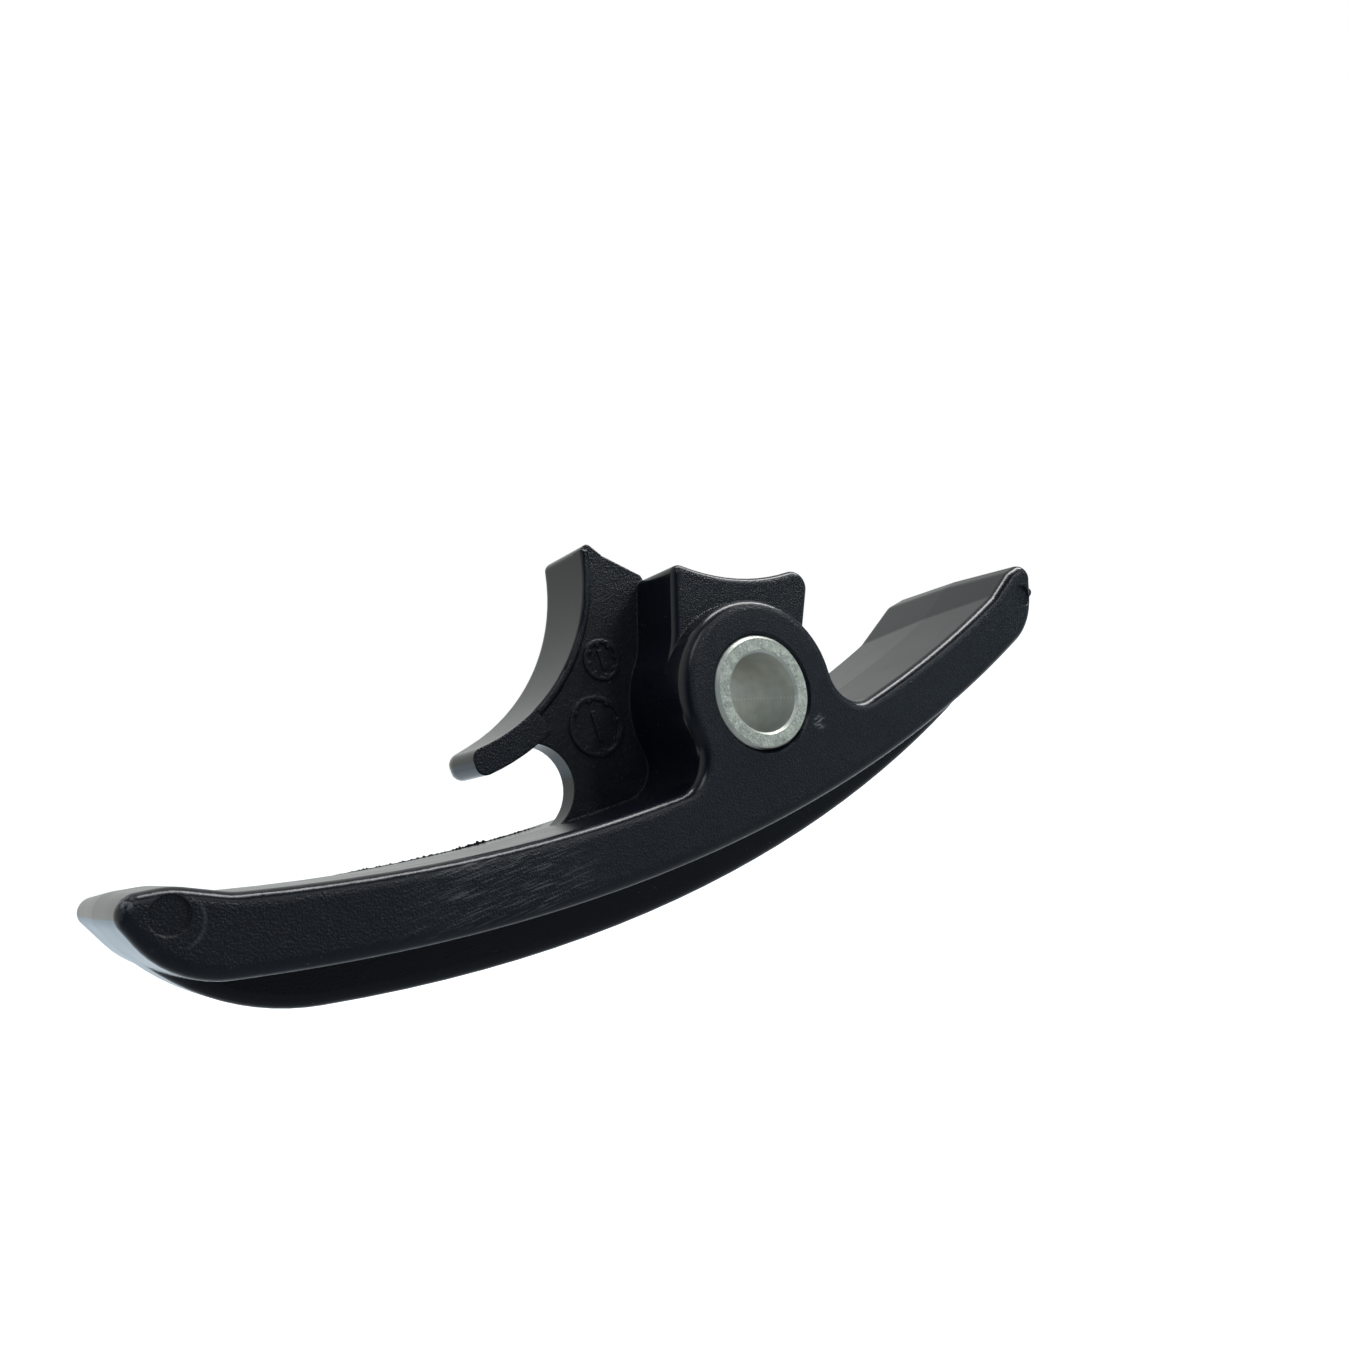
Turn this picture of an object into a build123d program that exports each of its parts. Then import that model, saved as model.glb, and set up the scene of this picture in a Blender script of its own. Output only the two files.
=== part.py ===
import math
import os

from build123d import *

# Lengths are in millimetres and angles in degrees.
# The origin is on the axis of the pivot bolt, halfway through the guide. X runs along the
# rail, Y along the bolt, away from the side with the plate's marks, and Z away from the chain.
# Heights and places that come in pairs are (x, z) in the side view.

# Rail, a curved bar. Its sides lean in from the parting plane in the middle.
guide_width = 21.6
rail_radius = 167.7
rail_thickness = 6.5
rail_drop = 13.3
rail_low_x = -12.5
draft_stand = 0.25
front_edge_radius = 1.2
back_edge_radius = 1.0

# Left end, with a low hump on top
left_reach = 63.5
left_skew = 0.5
left_point = 0.4
left_rake = 3.1
left_flat = 5.1
left_ramp = 4.0
left_rise = 0.85
left_heel_radius = 8.5
left_tip_radius = 1.6
left_tip_sharpening = 0.35
left_ramp_radius = 5.5

# Right end, with a lip that turns up
right_reach = 48.8
right_rake = 3.5
right_skew = 1.2
right_flat = 4.6
right_ramp = 4.1
right_ramp_growth = 3.2
right_rise = 0.7
right_rise_growth = 0.65
right_heel_radius = 8.0
right_tip_radius = 1.6
right_lip_radius = 2.5
right_ramp_radius = 3.0

# Boss, with a loose metal bush for the bolt
boss_x = 0.2
boss_radius = 9.9
boss_left_root_radius = 3.7
boss_right_root_radius = 4.0
bush_diameter = 12.0
bush_stand = 0.2
bush_clearance = 0.06
bush_chamfer = 0.35
bolt_hole_diameter = 8.4
bolt_hole_chamfer = 0.25
bore_mouth_chamfer = 0.3

# Keel, the narrow shoe under the rail that the chain runs on
keel_width = 7.6
keel_radius = 147.5
keel_depth = 4.3
keel_low_x = -13.0
keel_left_x = -49.0
keel_left_radius = 19.8
keel_left_sweep = 50.0
keel_right_x = 34.0
keel_right_radius = 14.0
keel_right_sweep = 60.0
keel_edge_radius = 1.1

# Block on the boss, with a saddle on top
block_width = 15.8
block_left_top = (-3.75, 15.8)
block_left_waist = (-6.5, 8.0)
block_left_foot_angle = 151.0
block_saddle = (4.7, 12.2)
block_right_top = (14.6, 12.0)
block_right_foot = (9.8, 3.4)
block_left_radius = 1.0
block_waist_radius = 8.0
block_right_radius = 1.8
block_edge_radius = 0.8

# Wing, a curved shoe that faces up and left, carried by a thin plate
wing_centre = (-29.4, 23.1)
wing_radius = 19.85
wing_thickness = 2.75
wing_back_y = 8.3
wing_peak_angle = -6.9
wing_peak_stand = 1.0
wing_top_angle = -8.9
wing_back_angle = -10.9
wing_tip_angle = -87.6
wing_corner_radius = 4.0
wing_tip_radius = 1.1
wing_peak_radius = 0.6
wing_edge_radius = 0.8
plate_front_y = -0.6
plate_thickness = 2.5
plate_root = (-3.3, 15.9)
plate_edge_radius = 0.4
bead_low_angle = -63.8
bead_width = 0.9
bead_stand = 0.4
bead_round = 0.35

# Notch between the wing's tongue and the rail
notch_top_x = -21.3
notch_inside_x = -18.6
notch_foot_x = -22.2

# Marks of the mould
ejector_setback = 4.3
ejector_lift = 2.0
ejector_diameter = 3.0
ejector_depth = 0.2
gate_setback = 4.0
gate_lift = 0.6
gate_diameter = 2.6
gate_depth = 0.3
nub_setback = 1.5
nub_lift = -0.2
nub_inset = 1.4
nub_radius = 0.7
dial_angles = (-54.6, -39.4)
dial_gaps = (2.2, 0.5)
dial_diameters = (6.4, 4.4)
dial_line = 0.45
dial_stand = 0.25
dial_ticks = 8
dial_tick = 0.6

side_y = guide_width / 2
rail_centre_z = rail_radius - rail_drop
rail_top_radius = rail_radius - rail_thickness
rail_middle_radius = rail_radius - rail_thickness / 2
keel_centre_z = keel_radius - rail_drop - keel_depth
keel_half = keel_width / 2
block_half = block_width / 2
wing_outer_radius = wing_radius + wing_thickness
bush_length = guide_width + 2 * bush_stand
bore_diameter = bush_diameter + 2 * bush_clearance
bead_radius = wing_radius + bead_width
ejector_x = ejector_setback - left_reach
gate_x = right_reach - gate_setback
nub_x = right_reach - nub_setback
front_plane = Plane.XZ.offset(side_y)
back_plane = Plane.XZ.offset(-side_y)
plate_plane = Plane.XZ.offset(-plate_front_y)


def on_rail(x, radius):
    """Point at x on an arc that shares the rail's centre."""
    return (x, rail_centre_z - math.sqrt(radius**2 - (x - rail_low_x) ** 2))


def on_keel(x):
    """Point at x on the face that the chain runs on."""
    return (x, keel_centre_z - math.sqrt(keel_radius**2 - (x - keel_low_x) ** 2))


def keel_slope(x):
    """Angle at which the keel's face rises to the right at x."""
    return math.degrees(math.asin((x - keel_low_x) / keel_radius))


def on_boss(angle):
    """Point on the boss's flank, halfway into its draft."""
    turn = math.radians(angle)
    radius = boss_radius + draft_stand / 2
    return (boss_x + radius * math.cos(turn), radius * math.sin(turn))


def on_wing(angle, radius):
    """Point on an arc that shares the wing's centre."""
    turn = math.radians(angle)
    return (wing_centre[0] + radius * math.cos(turn), wing_centre[1] + radius * math.sin(turn))


def side_outline(plane, stand, share):
    """Side view of the rail with its boss, stood out all round, at a share of the way to the back."""
    ramp = right_ramp + right_ramp_growth * share
    rise = right_rise + right_rise_growth * share
    under = rail_radius + stand
    over = rail_top_radius - stand
    left_x = -left_reach - left_point * share - stand
    right_x = right_reach + stand
    left_heel = on_rail(left_skew * share - left_reach - stand + left_rake, under)
    left_tip = on_rail(left_x, over)
    left_crest_x = left_skew * share - left_reach - stand + left_flat
    left_crest = (left_crest_x, on_rail(left_crest_x, over)[1] + left_rise)
    left_foot = on_rail(left_crest_x + left_ramp, over)
    right_heel = on_rail(right_x - right_rake, under)
    right_tip = on_rail(right_x, over)
    right_crest_x = right_x - right_flat - right_skew * share
    right_crest = (right_crest_x, on_rail(right_crest_x, over)[1] + rise)
    right_foot = on_rail(right_crest_x - ramp, over)
    with BuildSketch(plane) as outline:
        with BuildLine():
            ThreePointArc(left_heel, on_rail(rail_low_x, under), right_heel)
            Polyline(right_heel, right_tip, right_crest, right_foot)
            ThreePointArc(right_foot, on_rail(rail_low_x, over), left_foot)
            Polyline(left_foot, left_crest, left_tip, left_heel)
        make_face()
        with Locations((boss_x, 0)):
            Circle(boss_radius + stand)
        boss_foot = (boss_x, on_rail(boss_x, over)[1], 0)
        roots = outline.vertices().sort_by_distance(boss_foot)[:2].sort_by(Axis.X)
        fillet(roots[0], boss_left_root_radius - stand)
        fillet(outline.vertices().sort_by_distance(roots[1])[0], boss_right_root_radius - stand)
        for corner, radius in (
            (left_heel, left_heel_radius + stand),
            (right_heel, right_heel_radius + stand),
            (left_foot, left_ramp_radius - stand),
            (left_crest, left_ramp_radius + stand),
            (left_tip, left_tip_radius - left_tip_sharpening * share + stand),
            (right_foot, right_ramp_radius - stand),
            (right_crest, right_lip_radius + stand),
            (right_tip, right_tip_radius + stand),
        ):
            fillet(outline.vertices().sort_by_distance((*corner, 0))[0], radius)
    return outline.sketch


with BuildPart() as keel:
    with BuildSketch(Plane.XZ):
        with BuildLine():
            left = on_keel(keel_left_x)
            right = on_keel(keel_right_x)
            ThreePointArc(left, on_keel(keel_low_x), right)
            left_turn = math.radians(keel_slope(keel_left_x))
            left_way = (-math.cos(left_turn), -math.sin(left_turn))
            left_arc = JernArc(left, left_way, keel_left_radius, -keel_left_sweep)
            right_turn = math.radians(keel_slope(keel_right_x))
            right_way = (math.cos(right_turn), math.sin(right_turn))
            right_arc = JernArc(right, right_way, keel_right_radius, keel_right_sweep)
            left_inside = on_rail(left[0] - keel_left_radius / 2, rail_middle_radius)
            right_inside = on_rail(right[0] + keel_right_radius / 4, rail_middle_radius)
            Line(left_arc @ 1, left_inside)
            ThreePointArc(left_inside, on_rail(keel_low_x, rail_middle_radius), right_inside)
            Line(right_inside, right_arc @ 1)
        make_face()
    extrude(amount=keel_half, both=True)
    round_faces = keel.faces().filter_by(GeomType.CYLINDER)
    running_faces = round_faces.filter_by(lambda face: face.normal_at().Z < 0)
    fillet(running_faces.edges().filter_by(Plane.XZ), keel_edge_radius)

with BuildPart() as block:
    with BuildSketch(Plane.XZ) as saddle:
        with BuildLine():
            block_left_foot = on_boss(block_left_foot_angle)
            Polyline(block_left_top, block_left_waist, block_left_foot, (boss_x, 0))
            Polyline((boss_x, 0), block_right_foot, block_right_top)
            ThreePointArc(block_right_top, block_saddle, block_left_top)
        make_face()
        fillet(saddle.vertices().sort_by_distance((*block_left_waist, 0))[0], block_waist_radius)
        fillet(saddle.vertices().sort_by_distance((*block_left_top, 0))[0], block_left_radius)
        fillet(saddle.vertices().sort_by_distance((*block_right_top, 0))[0], block_right_radius)
    extrude(amount=block_half, both=True)
    fillet(block.faces().sort_by(Axis.Y)[0].edges(), block_edge_radius)
    fillet(block.faces().sort_by(Axis.Y)[-1].edges(), block_edge_radius)

with BuildPart() as wing:
    with BuildSketch(plate_plane) as ring:
        wing_top = on_wing(wing_top_angle, wing_radius)
        wing_back = on_wing(wing_back_angle, wing_outer_radius)
        wing_peak = on_wing(wing_peak_angle, wing_radius + wing_peak_stand)
        with BuildLine():
            wing_middle_angle = (wing_top_angle + wing_tip_angle) / 2
            wing_tip = on_wing(wing_tip_angle, wing_radius)
            tongue_under = on_wing(wing_tip_angle, wing_outer_radius)
            ThreePointArc(wing_tip, on_wing(wing_middle_angle, wing_radius), wing_top)
            Polyline(wing_top, wing_peak, wing_back)
            ThreePointArc(wing_back, on_wing(wing_middle_angle, wing_outer_radius), tongue_under)
            Line(tongue_under, wing_tip)
        make_face()
        fillet(ring.vertices().sort_by_distance((*wing_peak, 0))[0], wing_peak_radius)
    extrude(amount=-(wing_back_y - plate_front_y))
    with BuildSketch(plate_plane):
        with BuildLine():
            tongue_middle_angle = (bead_low_angle + wing_tip_angle) / 2
            tongue_top = on_wing(bead_low_angle, wing_radius)
            tongue_root = on_wing(bead_low_angle, wing_outer_radius)
            ThreePointArc(wing_tip, on_wing(tongue_middle_angle, wing_radius), tongue_top)
            Line(tongue_top, tongue_root)
            ThreePointArc(tongue_root, on_wing(tongue_middle_angle, wing_outer_radius), tongue_under)
            Line(tongue_under, wing_tip)
        make_face()
    extrude(amount=bead_stand)
    tongue_end = wing.faces().sort_by(Axis.X)[0]
    fillet(tongue_end.edges().sort_by(Axis.Y)[-1], wing_corner_radius)
    tip_faces = wing.faces().sort_by(Axis.X)[:2]
    tip_edges = tip_faces.edges().filter_by(lambda edge: abs(edge.tangent_at(0.5).Y) > 0.05)
    fillet(tip_edges, wing_tip_radius)
    fillet(wing.faces().sort_by(Axis.Y)[-1].edges(), wing_edge_radius)

with BuildPart() as bead:
    with BuildSketch(plate_plane):
        with BuildLine():
            bead_middle_angle = (wing_top_angle + bead_low_angle) / 2
            ThreePointArc(tongue_top, on_wing(bead_middle_angle, wing_radius), wing_top)
            Line(wing_top, on_wing(wing_top_angle, bead_radius))
            ThreePointArc(
                on_wing(wing_top_angle, bead_radius),
                on_wing(bead_middle_angle, bead_radius),
                on_wing(bead_low_angle, bead_radius),
            )
            Line(on_wing(bead_low_angle, bead_radius), tongue_top)
        make_face()
    extrude(amount=bead_stand)
    extrude(bead.faces().sort_by(Axis.Y)[-1], amount=wing_thickness / 2)
    fillet(bead.faces().sort_by(Axis.Y)[0].edges(), bead_round)

with BuildPart() as plate:
    with BuildSketch(plate_plane) as web:
        wing_middle_radius = wing_radius + wing_thickness / 2
        notch_offset = notch_top_x - wing_centre[0]
        tongue_under_z = wing_centre[1] - math.sqrt(wing_outer_radius**2 - notch_offset**2)
        notch_top = (notch_top_x, tongue_under_z)
        notch_foot = on_rail(notch_foot_x, rail_top_radius)
        notch_inside = (notch_inside_x, (notch_top[1] + notch_foot[1]) / 2)
        tongue_angle = math.degrees(math.asin(notch_offset / wing_middle_radius)) - 90
        with BuildLine():
            in_rail = on_rail(notch_foot_x, rail_middle_radius)
            in_boss = (boss_x, boss_radius / 2)
            Polyline(notch_foot, in_rail, (boss_x, -boss_radius / 2), in_boss, plate_root, wing_back)
            Line(wing_back, on_wing(wing_back_angle, wing_middle_radius))
            ThreePointArc(
                on_wing(wing_back_angle, wing_middle_radius),
                on_wing(wing_middle_angle, wing_middle_radius),
                on_wing(tongue_angle, wing_middle_radius),
            )
            Line(on_wing(tongue_angle, wing_middle_radius), notch_top)
            ThreePointArc(notch_top, notch_inside, notch_foot)
        make_face()
    extrude(amount=-plate_thickness)
    fillet(plate.faces().sort_by(Axis.Y)[0].edges().sort_by(Axis.X)[:1], plate_edge_radius)

with BuildPart() as guide:
    for plane, share in ((front_plane, 0), (back_plane, 1)):
        add(side_outline(Plane.XZ, draft_stand, 0.5))
        add(side_outline(plane, 0, share))
        loft(ruled=True)
    fillet(guide.faces().sort_by(Axis.Y)[0].edges(), front_edge_radius)
    fillet(guide.faces().sort_by(Axis.Y)[-1].edges(), back_edge_radius)
    add(keel.part)
    add(block.part)
    add(plate.part)
    add(wing.part)
    add(bead.part)
    with Locations((nub_x, nub_inset - side_y, on_rail(nub_x, rail_middle_radius)[1] + nub_lift)):
        Sphere(nub_radius)
    with BuildSketch(plate_plane):
        for angle, gap, diameter in zip(dial_angles, dial_gaps, dial_diameters):
            with Locations(on_wing(angle, bead_radius + gap + diameter / 2)):
                Circle(diameter / 2)
                Circle(diameter / 2 - dial_line, mode=Mode.SUBTRACT)
                Rectangle(dial_line, diameter / 2)
                with PolarLocations(diameter / 2 - dial_line, dial_ticks):
                    Rectangle(dial_tick, dial_line)
    extrude(amount=dial_stand)
    with BuildSketch(front_plane):
        with Locations((ejector_x, on_rail(ejector_x, rail_middle_radius)[1] + ejector_lift)):
            Circle(ejector_diameter / 2)
    extrude(amount=-ejector_depth, mode=Mode.SUBTRACT)
    with BuildSketch(front_plane):
        with Locations((gate_x, on_rail(gate_x, rail_middle_radius)[1] + gate_lift)):
            Circle(gate_diameter / 2)
    extrude(amount=-gate_depth, mode=Mode.SUBTRACT)
    with BuildSketch(front_plane):
        Circle(bore_diameter / 2)
    extrude(amount=-guide_width, mode=Mode.SUBTRACT)
    circles = guide.edges().filter_by(GeomType.CIRCLE)
    mouths = circles.filter_by(lambda edge: abs(edge.radius - bore_diameter / 2) < 0.001)
    chamfer(mouths, bore_mouth_chamfer)
guide.part.label = "guide_body"

with BuildPart() as bush:
    with BuildSketch(Plane.XZ):
        Circle(bush_diameter / 2)
        Circle(bolt_hole_diameter / 2, mode=Mode.SUBTRACT)
    extrude(amount=bush_length / 2, both=True)
    rims = bush.edges().filter_by(GeomType.CIRCLE).sort_by(SortBy.RADIUS)
    chamfer(rims[:2], bolt_hole_chamfer)
    chamfer(rims[2:], bush_chamfer)
bush.part.label = "pivot_bush"

os.makedirs("parts", exist_ok=True)
export_step(guide.part, "parts/guide_body.step")
export_step(bush.part, "parts/pivot_bush.step")
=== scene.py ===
import math
import random

import bmesh
import bpy
from mathutils import Matrix, Vector


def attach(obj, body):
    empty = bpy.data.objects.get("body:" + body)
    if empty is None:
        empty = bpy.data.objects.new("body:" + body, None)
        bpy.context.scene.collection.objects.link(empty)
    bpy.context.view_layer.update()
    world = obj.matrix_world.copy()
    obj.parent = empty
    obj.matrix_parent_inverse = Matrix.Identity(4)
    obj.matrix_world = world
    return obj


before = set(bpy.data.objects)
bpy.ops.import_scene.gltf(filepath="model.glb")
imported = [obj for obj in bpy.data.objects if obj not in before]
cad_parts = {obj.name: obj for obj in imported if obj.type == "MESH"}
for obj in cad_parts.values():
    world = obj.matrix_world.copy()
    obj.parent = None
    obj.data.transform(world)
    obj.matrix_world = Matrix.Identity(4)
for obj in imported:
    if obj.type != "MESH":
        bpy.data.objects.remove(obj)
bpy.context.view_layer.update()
random.seed(7)
scene = bpy.context.scene

# The rail in the side view (x, z), in metres
RAIL_CENTRE = (-0.0125, 0.1544)
RAIL_RADIUS = 0.1677
RAIL_TOP_RADIUS = 0.1612
RAIL_HALF_WIDTH = 0.0108
RAIL_DRAFT = 0.00025
KEEL_HALF_WIDTH = (0.0040, 0.0046)

# Marks of use and moulding on the sides, with a painted highlight on the lobe's corner and
# painted shade at the bush's rim: place (x, z) and size
SCRATCHES = {"place": (-0.0335, -0.0095), "radius": 0.0075, "soft": 0.004}
SCUFF = {"place": (0.0061, -0.0049), "radius": 0.0007, "soft": 0.0004}
# Pale spot on the lobe's corner: partly a scuff, partly a painted highlight
CORNER_SCUFF_AND_HIGHLIGHT = {"place": (-0.0617, 0.0007), "radius": 0.0005, "soft": 0.0004}
EJECTOR_PLACE = (-0.0591, -0.0018)
EJECTOR_RADIUS = 0.0022
LOBE_FRONT = (-0.0095, -0.0088)
# Rim of the bush, where the painted shade of the gap lies
BUSH_RIM = (0.00570, 0.00588)

# Colours of the plastic
PLASTIC_DARK = (0.0034, 0.0050, 0.0088, 1)
PLASTIC_PALE = (0.0058, 0.0076, 0.0108, 1)
# Painted shade: the keel sits back under the rail's lower edge and gets a darker base
KEEL_PAINTED_SHADE_COLOUR = (0.0016, 0.0022, 0.0042, 1)
SCRATCH_COLOUR = (0.085, 0.087, 0.090, 1)
# Pale colour for the rubbed arcs and the corner spot; the corner spot is partly a painted
# highlight
RUBBED_AND_HIGHLIGHT_COLOUR = (0.16, 0.16, 0.17, 1)
SCUFF_COLOUR = (0.20, 0.20, 0.20, 1)
DUST_COLOUR = (0.10, 0.10, 0.10, 1)

# Colours of the bush
FACE_DARK = (0.48, 0.47, 0.385, 1)
FACE_PALE = (0.72, 0.71, 0.59, 1)
BORE_DARK = (0.60, 0.60, 0.54, 1)
BORE_PALE = (0.72, 0.72, 0.66, 1)
GLINT_COLOUR = (1.0, 0.99, 0.90, 1)
SPECK_COLOUR = (0.14, 0.14, 0.12, 1)
# Painted shade: dark colour for the gap round the bush
GAP_SHADE_COLOUR = (0.012, 0.012, 0.011, 1)
TOOL_MARK_COLOUR = (1.0, 1.0, 0.92, 1)

# Floor and surroundings
WHITE = (1, 1, 1, 1)
FLOOR_DARK = (0.88, 0.88, 0.88, 1)
FLOOR_PALE = (0.90, 0.90, 0.90, 1)
FLOOR_IN_REFLECTIONS = (0.02, 0.03, 0.04, 1)
FLOOR_GLOW = (0.70, 0.86, 1.0, 1)
ROOM_DIM = (0.42, 0.72, 1.0, 1)
ROOM_BRIGHT = (0.93, 0.97, 0.94, 1)
ROOM_BRIGHT_WAY = (-0.45, 0.89, 0.2)
FLOOR_REACH = 3.0
FLOOR_Z = -0.09


# Node helpers
def new_material(name):
    mat = bpy.data.materials.new(name)
    mat.use_nodes = True
    tree = mat.node_tree
    tree.nodes.clear()
    return mat, tree


def node(tree, kind, **values):
    made = tree.nodes.new(kind)
    for key, value in values.items():
        setattr(made, key, value)
    return made


def put(tree, socket, value):
    """Links a socket to another, or sets its value."""
    if isinstance(value, bpy.types.NodeSocket):
        tree.links.new(value, socket)
    else:
        socket.default_value = value


def maths(tree, operation, *values, clamp=False):
    made = node(tree, "ShaderNodeMath", operation=operation, use_clamp=clamp)
    for index, value in enumerate(values):
        put(tree, made.inputs[index], value)
    return made.outputs[0]


def plus(tree, first, second, clamp=False):
    return maths(tree, "ADD", first, second, clamp=clamp)


def minus(tree, first, second):
    return maths(tree, "SUBTRACT", first, second)


def times(tree, first, *others):
    """Product of the values, from left to right."""
    for other in others:
        first = maths(tree, "MULTIPLY", first, other)
    return first


def size_of(tree, value):
    """Size of a value without its sign."""
    return maths(tree, "ABSOLUTE", value)


def split(tree, vector):
    """The x, y and z of a vector."""
    parts = node(tree, "ShaderNodeSeparateXYZ")
    tree.links.new(vector, parts.inputs[0])
    return parts.outputs[0], parts.outputs[1], parts.outputs[2]


def coordinates(tree, kind):
    return node(tree, "ShaderNodeTexCoord").outputs[kind]


def ramp(tree, value, low, high, start=0.0, end=1.0):
    """Smooth step from start to end as value goes from low to high."""
    made = node(tree, "ShaderNodeMapRange", interpolation_type="SMOOTHSTEP")
    put(tree, made.inputs["Value"], value)
    put(tree, made.inputs["From Min"], low)
    put(tree, made.inputs["From Max"], high)
    put(tree, made.inputs["To Min"], start)
    put(tree, made.inputs["To Max"], end)
    return made.outputs[0]


def noise(tree, vector, scale=1.0, detail=2.0, roughness=0.5):
    made = node(tree, "ShaderNodeTexNoise", noise_dimensions="3D")
    put(tree, made.inputs["Vector"], vector)
    made.inputs["Scale"].default_value = scale
    made.inputs["Detail"].default_value = detail
    made.inputs["Roughness"].default_value = roughness
    return made.outputs["Fac"]


def patches(tree, vector, low, high, **grade):
    """1 where the noise is above high, 0 where it is below low."""
    return ramp(tree, noise(tree, vector, **grade), low, high)


def cells(tree, vector, scale):
    made = node(tree, "ShaderNodeTexVoronoi", feature="F1")
    put(tree, made.inputs["Vector"], vector)
    made.inputs["Scale"].default_value = scale
    return made.outputs["Distance"]


def stretch(tree, vector, scale=(1, 1, 1), turn=0, shift=(0, 0, 0)):
    """Vector scaled, turned by degrees about y, and shifted."""
    made = node(tree, "ShaderNodeMapping")
    put(tree, made.inputs["Vector"], vector)
    made.inputs["Scale"].default_value = scale
    made.inputs["Rotation"].default_value = (0, math.radians(turn), 0)
    made.inputs["Location"].default_value = shift
    return made.outputs["Vector"]


def colour_mix(tree, factor, first, second):
    made = node(tree, "ShaderNodeMix", data_type="RGBA")
    put(tree, made.inputs["Factor"], factor)
    put(tree, made.inputs[6], first)
    put(tree, made.inputs[7], second)
    return made.outputs[2]


def bump(tree, height, strength, distance, normal=None):
    made = node(tree, "ShaderNodeBump")
    put(tree, made.inputs["Height"], height)
    made.inputs["Strength"].default_value = strength
    made.inputs["Distance"].default_value = distance
    if normal is not None:
        put(tree, made.inputs["Normal"], normal)
    return made.outputs["Normal"]


def surface_shader(tree, base, rough, normal, constants):
    """Principled shader on the material's output."""
    shader = node(tree, "ShaderNodeBsdfPrincipled")
    put(tree, shader.inputs["Base Color"], base)
    put(tree, shader.inputs["Roughness"], rough)
    put(tree, shader.inputs["Normal"], normal)
    for key, value in constants.items():
        shader.inputs[key].default_value = value
    out = node(tree, "ShaderNodeOutputMaterial")
    tree.links.new(shader.outputs[0], out.inputs[0])


class Point:
    """Sockets for where a point of the object lies and which way it faces."""

    def __init__(self, tree):
        self.place = coordinates(tree, "Object")
        self.x, self.y, self.z = split(tree, self.place)
        facing = split(tree, coordinates(tree, "Normal"))
        self.sideways = size_of(tree, facing[1])
        self.upright = size_of(tree, facing[2])


def distance_from(tree, point, place):
    """Distance from a place in the side view."""
    over = minus(tree, point.x, place[0])
    up = minus(tree, point.z, place[1])
    squares = plus(tree, times(tree, over, over), times(tree, up, up))
    return maths(tree, "SQRT", squares)


def disc(tree, point, place, radius, soft):
    """1 inside a circle in the side view, 0 outside."""
    distance = distance_from(tree, point, place)
    return ramp(tree, distance, radius - soft, radius + soft, 1.0, 0.0)


# Guide plastic: spark-grained on the sides, smooth where the chain and the mould slide
def keel_mask(tree, point):
    """1 on the keel, which hangs below an arc about the rail's centre."""
    distance = distance_from(tree, point, RAIL_CENTRE)
    below = ramp(tree, distance, RAIL_RADIUS + 0.0001, RAIL_RADIUS + 0.0005)
    return times(tree, below, ramp(tree, size_of(tree, point.y), *KEEL_HALF_WIDTH, 1.0, 0.0))


def grain_height(tree, point, keel):
    """Spark grain, full on flat sides and faint on the keel and other faces."""
    fine = times(tree, noise(tree, point.place, scale=6400.0, roughness=0.6), 0.7)
    pits = times(tree, cells(tree, point.place, 4600.0), 0.5)
    mean = 0.57
    depth = plus(tree, times(tree, ramp(tree, point.sideways, 0.90, 0.99), 0.95), 0.05)
    depth = times(tree, depth, minus(tree, 1.0, times(tree, keel, 0.85)))
    return times(tree, minus(tree, plus(tree, fine, pits), mean), depth)


def scratch_mask(tree, point, side, keel):
    """Handling scratches on the side below the wing."""
    falling = stretch(tree, point.place, (240, 900, 6500), -7)
    rising = stretch(tree, point.place, (300, 900, 6000), 14)
    falling = patches(tree, falling, 0.56, 0.68, roughness=0.6)
    rising = patches(tree, rising, 0.60, 0.70, roughness=0.6)
    lines = plus(tree, falling, rising, clamp=True)
    area = disc(tree, point, **SCRATCHES)
    return times(tree, lines, area, side, minus(tree, 1.0, keel))


def scuff_mask(tree, point, side):
    """Small scuff beside the bush."""
    streaks = patches(tree, stretch(tree, point.place, (1500, 900, 4500), 20), 0.45, 0.6)
    return times(tree, streaks, disc(tree, point, **SCUFF), side)


def rubbed_and_highlight_mask(tree, point):
    """Pale rubbed arcs where the ejector pin pressed, and a pale spot on the lobe's rounded
    corner that is partly a scuff and partly a painted highlight.
    """
    distance = distance_from(tree, point, EJECTOR_PLACE)
    off_ring = size_of(tree, minus(tree, distance, EJECTOR_RADIUS))
    ring = ramp(tree, off_ring, 0.00004, 0.00022, 1.0, 0.0)
    broken = patches(tree, point.place, 0.48, 0.62, scale=420.0, roughness=0.6)
    ring = times(tree, ring, broken, 0.18)
    ragged = patches(tree, point.place, 0.42, 0.60, scale=2400.0, roughness=0.6)
    corner = times(tree, disc(tree, point, **CORNER_SCUFF_AND_HIGHLIGHT), ragged)
    front = ramp(tree, point.y, *LOBE_FRONT, 1.0, 0.0)
    return times(tree, maths(tree, "MAXIMUM", ring, corner), front)


def drag_height(tree, point):
    """Drag lines of the mould along the faces that look up or down."""
    lines = noise(tree, stretch(tree, point.place, (60, 2600, 60)))
    return times(tree, minus(tree, lines, 0.5), ramp(tree, point.upright, 0.88, 0.97))


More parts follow.
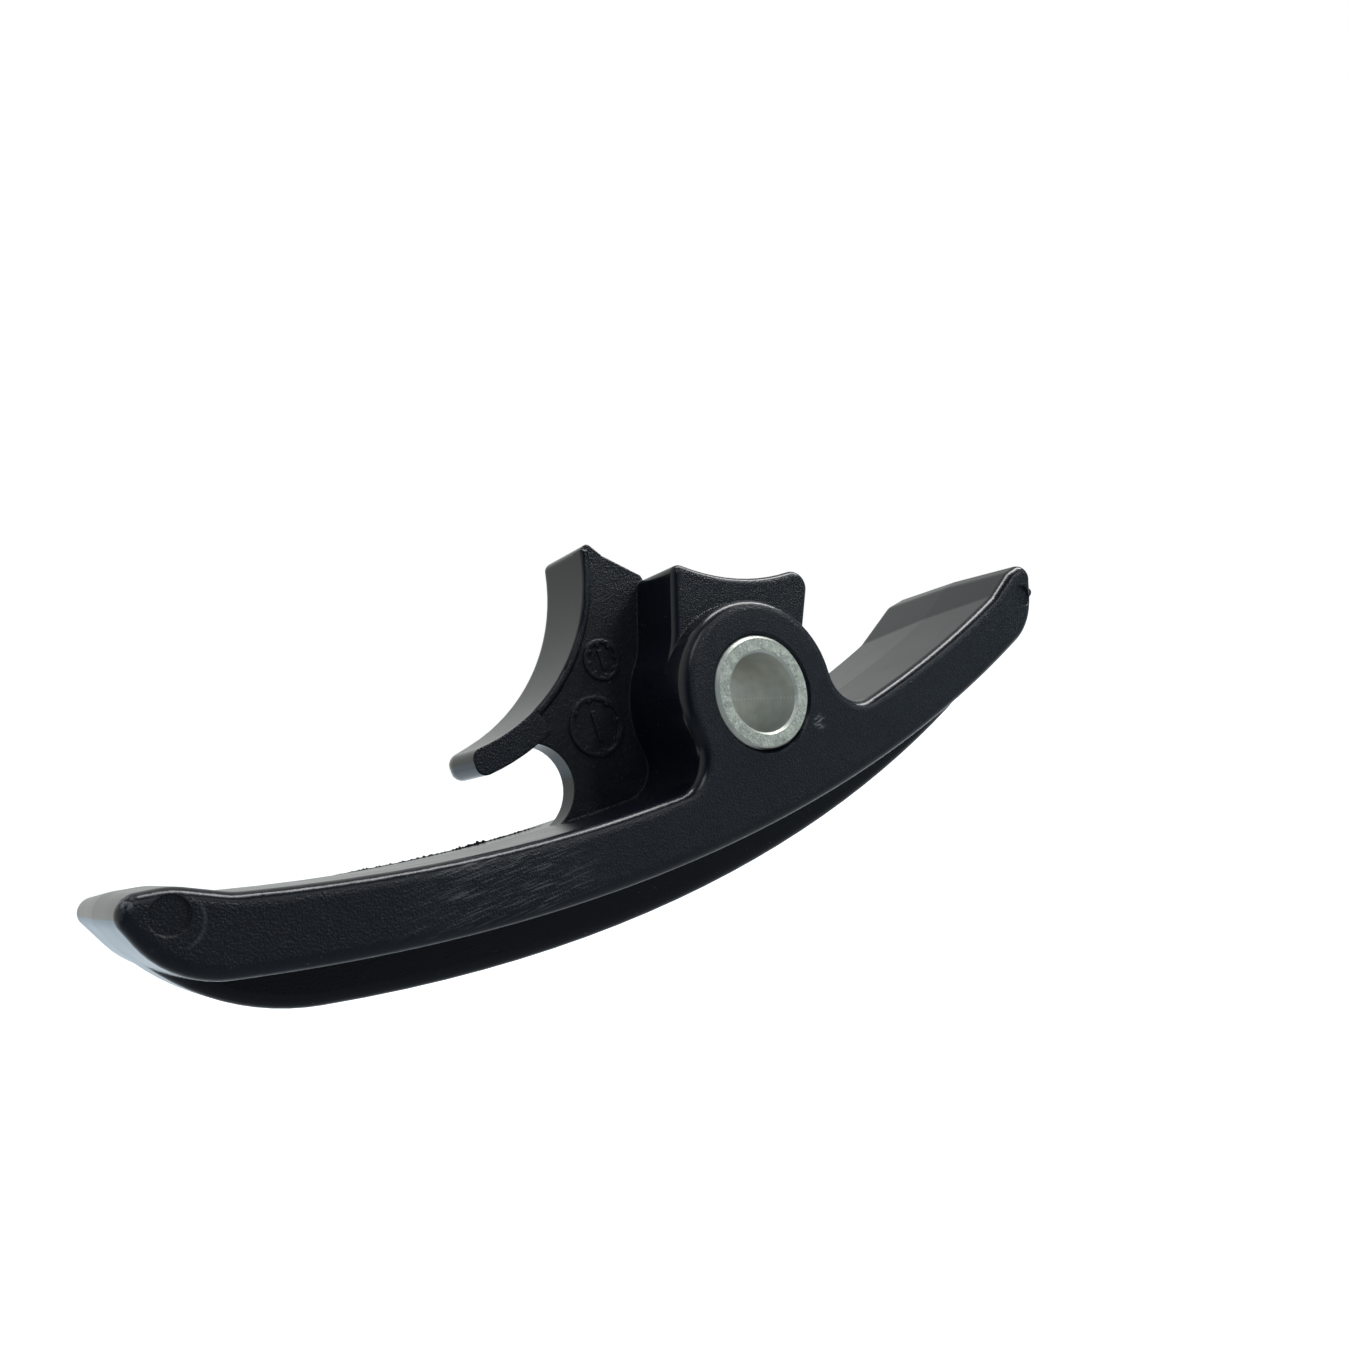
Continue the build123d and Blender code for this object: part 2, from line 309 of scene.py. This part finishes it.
def guide_plastic():
    mat, tree = new_material("guide_plastic_black")
    point = Point(tree)
    side = ramp(tree, point.sideways, 0.80, 0.96)
    keel = keel_mask(tree, point)
    scratch = scratch_mask(tree, point, side, keel)
    drag = drag_height(tree, point)
    dust = patches(tree, point.place, 0.74, 0.8, scale=2600.0, detail=1.0, roughness=0.4)
    clouds = patches(tree, point.place, 0.35, 0.7, scale=90.0, detail=3.0, roughness=0.55)

    base = colour_mix(tree, clouds, PLASTIC_DARK, PLASTIC_PALE)
    # painted shade: darker base on the keel, under the rail's lower edge
    base = colour_mix(tree, keel, base, KEEL_PAINTED_SHADE_COLOUR)
    marks = (
        (scratch, 0.6, SCRATCH_COLOUR),
        # rubbed arcs, and a corner spot that is partly a painted highlight
        (rubbed_and_highlight_mask(tree, point), 0.8, RUBBED_AND_HIGHLIGHT_COLOUR),
        (scuff_mask(tree, point, side), 0.7, SCUFF_COLOUR),
        (dust, 0.35, DUST_COLOUR),
    )
    for mask, share, colour in marks:
        base = colour_mix(tree, times(tree, mask, share), base, colour)

    waves = minus(tree, noise(tree, point.place, scale=160.0), 0.5)
    side_rough = minus(tree, 0.38, times(tree, keel, 0.16))
    rough = ramp(tree, side, 0.0, 1.0, 0.20, side_rough)
    rough = plus(tree, rough, times(tree, waves, 0.12))
    rough = plus(tree, rough, times(tree, drag, 0.08), clamp=True)

    edges = node(tree, "ShaderNodeBevel", samples=8)
    edges.inputs["Radius"].default_value = 0.00028
    normal = bump(tree, grain_height(tree, point, keel), 0.9, 0.00013, edges.outputs[0])
    lines = plus(tree, times(tree, drag, 0.25), times(tree, scratch, 1.2))
    normal = bump(tree, lines, 0.35, 0.00006, normal)
    surface_shader(tree, base, rough, normal, {"IOR": 1.5, "Specular IOR Level": 0.4})
    return mat


# Bush metal: pale, fine-grained pressed face, with turned marks in the bore
def gap_shade_mask(tree, point):
    """Painted shade: dark colour in the gap round the lower right of the bush, where shade
    falls.
    """
    out_from = distance_from(tree, point, (0.0, 0.0))
    low_right = maths(tree, "DIVIDE", minus(tree, point.x, point.z), out_from)
    return times(tree, ramp(tree, out_from, *BUSH_RIM), ramp(tree, low_right, 0.0, 0.7))


def tool_mark_mask(tree, point, face):
    """Faint row of tool marks along the far wall of the bore."""
    rise = plus(tree, times(tree, point.y, -0.13), 0.0002)
    off_row = size_of(tree, plus(tree, point.z, rise))
    row = ramp(tree, off_row, 0.00006, 0.00016, 1.0, 0.0)
    dots = ramp(tree, maths(tree, "SINE", times(tree, point.y, 11000.0)), 0.0, 0.8)
    far_wall = ramp(tree, point.x, 0.0030, 0.0034)
    return times(tree, row, dots, far_wall, minus(tree, 1.0, face))


def bush_metal():
    mat, tree = new_material("bush_pale_metal")
    point = Point(tree)
    face = ramp(tree, point.sideways, 0.6, 0.9)
    mottle = noise(tree, point.place, scale=1500.0, detail=3.0, roughness=0.6)
    specks = patches(tree, point.place, 0.62, 0.70, scale=2900.0, detail=1.0)
    elsewhere = stretch(tree, point.place, shift=(0.1, 0, 0))
    glints = patches(tree, elsewhere, 0.60, 0.68, scale=3600.0, detail=1.0)

    base = colour_mix(tree, ramp(tree, mottle, 0.35, 0.7), FACE_DARK, FACE_PALE)
    base = colour_mix(tree, times(tree, glints, face, 0.45), base, GLINT_COLOUR)
    bore = patches(tree, point.place, 0.3, 0.7, scale=500.0)
    bore = colour_mix(tree, bore, BORE_DARK, BORE_PALE)
    base = colour_mix(tree, face, bore, base)
    marks = (
        # painted shade in the gap round the bush
        (gap_shade_mask(tree, point), 1.0, GAP_SHADE_COLOUR),
        (times(tree, specks, face), 0.5, SPECK_COLOUR),
        (tool_mark_mask(tree, point, face), 0.5, TOOL_MARK_COLOUR),
    )
    for mask, share, colour in marks:
        base = colour_mix(tree, times(tree, mask, share), base, colour)

    rough = ramp(tree, face, 0.0, 1.0, 0.34, 0.52)
    rough = plus(tree, rough, times(tree, minus(tree, mottle, 0.5), 0.2))
    rings = noise(tree, stretch(tree, point.place, (40, 3800, 40)))
    grains = times(tree, cells(tree, point.place, 4200.0), face, 0.8)
    normal = bump(tree, plus(tree, grains, times(tree, rings, 0.2)), 0.6, 0.00009)
    surface_shader(tree, base, rough, normal, {"Metallic": 0.6})
    return mat


plastic = guide_plastic()
metal = bush_metal()
for name, material in (("guide_body", plastic), ("pivot_bush", metal)):
    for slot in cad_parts[name].material_slots:
        slot.material = material


# Thin ragged flash that the mould left along the top of the left arm
def flash_line(name, start, end, y, tall, steps):
    """Three-sided sliver on the rail's top face; its height and place waver."""
    half_foot = 0.00009
    sunk = 0.00006
    waver = 0.00006
    lean = 0.00008
    least = 0.00002
    shape = bmesh.new()
    rows = []
    wander = 0.0
    for index in range(steps + 1):
        share = index / steps
        x = start + (end - start) * share
        wander = wander * 0.85 + random.uniform(-1, 1) * waver
        fade = min(1.0, 8 * share, 8 * (1 - share))
        stand = tall * (0.25 + 0.75 * random.random() ** 2) * fade + least
        middle = y + wander
        tip = middle + random.uniform(-lean, lean)
        arc = math.sqrt(RAIL_TOP_RADIUS ** 2 - (x - RAIL_CENTRE[0]) ** 2)
        top = RAIL_CENTRE[1] - arc
        top += RAIL_DRAFT * (1 - abs(y) / RAIL_HALF_WIDTH)
        rows.append([
            shape.verts.new((x, middle - half_foot, top - sunk)),
            shape.verts.new((x, tip, top + stand)),
            shape.verts.new((x, middle + half_foot, top - sunk)),
        ])
    for first, second in zip(rows, rows[1:]):
        for corner in range(3):
            after = (corner + 1) % 3
            shape.faces.new((first[corner], first[after], second[after], second[corner]))
    shape.faces.new(rows[0])
    shape.faces.new(reversed(rows[-1]))
    bmesh.ops.recalc_face_normals(shape, faces=shape.faces)
    made = bpy.data.meshes.new(name)
    shape.to_mesh(made)
    shape.free()
    item = bpy.data.objects.new(name, made)
    scene.collection.objects.link(item)
    item.data.materials.append(plastic)
    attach(item, "guide")


flash_line("flash_line", -0.0425, -0.0195, 0.0070, 0.00020, 150)
flash_line("flash_flake", -0.0300, -0.0262, 0.0068, 0.00042, 30)


# Floor and surroundings
def light_path(tree, kind):
    return node(tree, "ShaderNodeLightPath").outputs[kind]


def seen_directly(tree):
    """1 for what the camera, a reflection or clear glass shows of the backdrop."""
    glossy = light_path(tree, "Is Glossy Ray")
    through = maths(tree, "MAXIMUM", glossy, light_path(tree, "Is Transmission Ray"))
    return maths(tree, "MAXIMUM", light_path(tree, "Is Camera Ray"), through)


def floor_material():
    """The floor glows all over for the camera, and only behind the object for reflections."""
    mat, tree = new_material("floor_white")
    place = coordinates(tree, "Object")
    depth = split(tree, place)[1]
    camera_ray = light_path(tree, "Is Camera Ray")

    shader = node(tree, "ShaderNodeBsdfPrincipled")
    shader.inputs["Roughness"].default_value = 0.9
    pale = colour_mix(tree, noise(tree, place, scale=4.0), FLOOR_DARK, FLOOR_PALE)
    shaded = ramp(tree, depth, -0.10, 0.30, 0.85, 0.0)
    shaded = times(tree, light_path(tree, "Is Glossy Ray"), shaded)
    pale = colour_mix(tree, shaded, pale, FLOOR_IN_REFLECTIONS)
    put(tree, shader.inputs["Base Color"], pale)

    glow = node(tree, "ShaderNodeEmission")
    put(tree, glow.inputs["Color"], colour_mix(tree, camera_ray, FLOOR_GLOW, WHITE))
    behind = ramp(tree, depth, -0.05, 0.45, 0.04, 0.55)
    reflected = times(tree, seen_directly(tree), behind)
    strength = maths(tree, "MAXIMUM", reflected, times(tree, camera_ray, 0.8))
    put(tree, glow.inputs["Strength"], strength)

    both = node(tree, "ShaderNodeAddShader")
    tree.links.new(shader.outputs[0], both.inputs[0])
    tree.links.new(glow.outputs[0], both.inputs[1])
    out = node(tree, "ShaderNodeOutputMaterial")
    tree.links.new(both.outputs[0], out.inputs[0])
    return mat


def add_floor():
    corners = [
        (-FLOOR_REACH, -FLOOR_REACH, FLOOR_Z),
        (FLOOR_REACH, -FLOOR_REACH, FLOOR_Z),
        (FLOOR_REACH, FLOOR_REACH, FLOOR_Z),
        (-FLOOR_REACH, FLOOR_REACH, FLOOR_Z),
    ]
    mesh = bpy.data.meshes.new("floor")
    mesh.from_pydata(corners, [], [(0, 1, 2, 3)])
    floor = bpy.data.objects.new("floor", mesh)
    scene.collection.objects.link(floor)
    floor.data.materials.append(floor_material())


def add_world():
    """White for the camera; reflections see a room that is brighter behind and to the left."""
    world = bpy.data.worlds.new("surroundings")
    world.use_nodes = True
    tree = world.node_tree
    tree.nodes.clear()
    way = split(tree, coordinates(tree, "Generated"))
    parts = [times(tree, part, share) for part, share in zip(way, ROOM_BRIGHT_WAY)]
    bright_way = plus(tree, plus(tree, parts[0], parts[1]), parts[2])
    room = ramp(tree, ramp(tree, bright_way, -0.7, 1.0), 0.0, 1.0, 0.05, 0.73)
    camera_ray = light_path(tree, "Is Camera Ray")
    room = maths(tree, "MAXIMUM", room, camera_ray)

    back = node(tree, "ShaderNodeBackground")
    tint = colour_mix(tree, ramp(tree, room, 0.05, 0.5), ROOM_DIM, ROOM_BRIGHT)
    put(tree, back.inputs["Color"], colour_mix(tree, camera_ray, tint, WHITE))
    seen = seen_directly(tree)
    unseen = times(tree, minus(tree, 1.0, seen), 0.45)
    put(tree, back.inputs["Strength"], plus(tree, times(tree, seen, room), unseen))
    out = node(tree, "ShaderNodeOutputWorld")
    tree.links.new(back.outputs[0], out.inputs[0])
    scene.world = world


def lamp(name, place, size, power, colour=(1, 1, 1)):
    """Rectangular lamp that looks at the bush."""
    data = bpy.data.lights.new(name, "AREA")
    data.shape = "RECTANGLE"
    data.size, data.size_y = size
    data.energy = power
    data.color = colour
    item = bpy.data.objects.new(name, data)
    item.location = place
    item.rotation_euler = (-Vector(place)).to_track_quat("-Z", "Y").to_euler()
    scene.collection.objects.link(item)


def add_camera():
    """Camera at the photograph's place."""
    right = Vector((0.78077, -0.54824, -0.29971))
    up = Vector((0.24531, -0.17219, 0.95403))
    ahead = Vector((0.57465, 0.81840, -0.00005))
    turn = Matrix((right, up, -ahead)).transposed().to_4x4()
    data = bpy.data.cameras.new("photo_camera")
    data.sensor_width = 36
    data.lens = 29.87
    data.clip_start = 0.005
    camera = bpy.data.objects.new("photo_camera", data)
    camera.matrix_world = Matrix.Translation((-0.07302, -0.10057, 0.00442)) @ turn
    scene.collection.objects.link(camera)
    scene.camera = camera


add_floor()
add_world()
lamp("top_light", (0.37, -0.04, 0.50), (0.15, 0.65), 3.4)
lamp("front_light", (-0.05, -0.45, 0.45), (0.30, 0.20), 0.5)
lamp("side_light", (0.32, -0.42, 0.26), (0.07, 0.07), 0.30)
lamp("right_light", (0.54, -0.40, 0.10), (0.25, 0.25), 0.36, (0.62, 0.86, 1.0))
add_camera()
scene.view_settings.view_transform = "Standard"
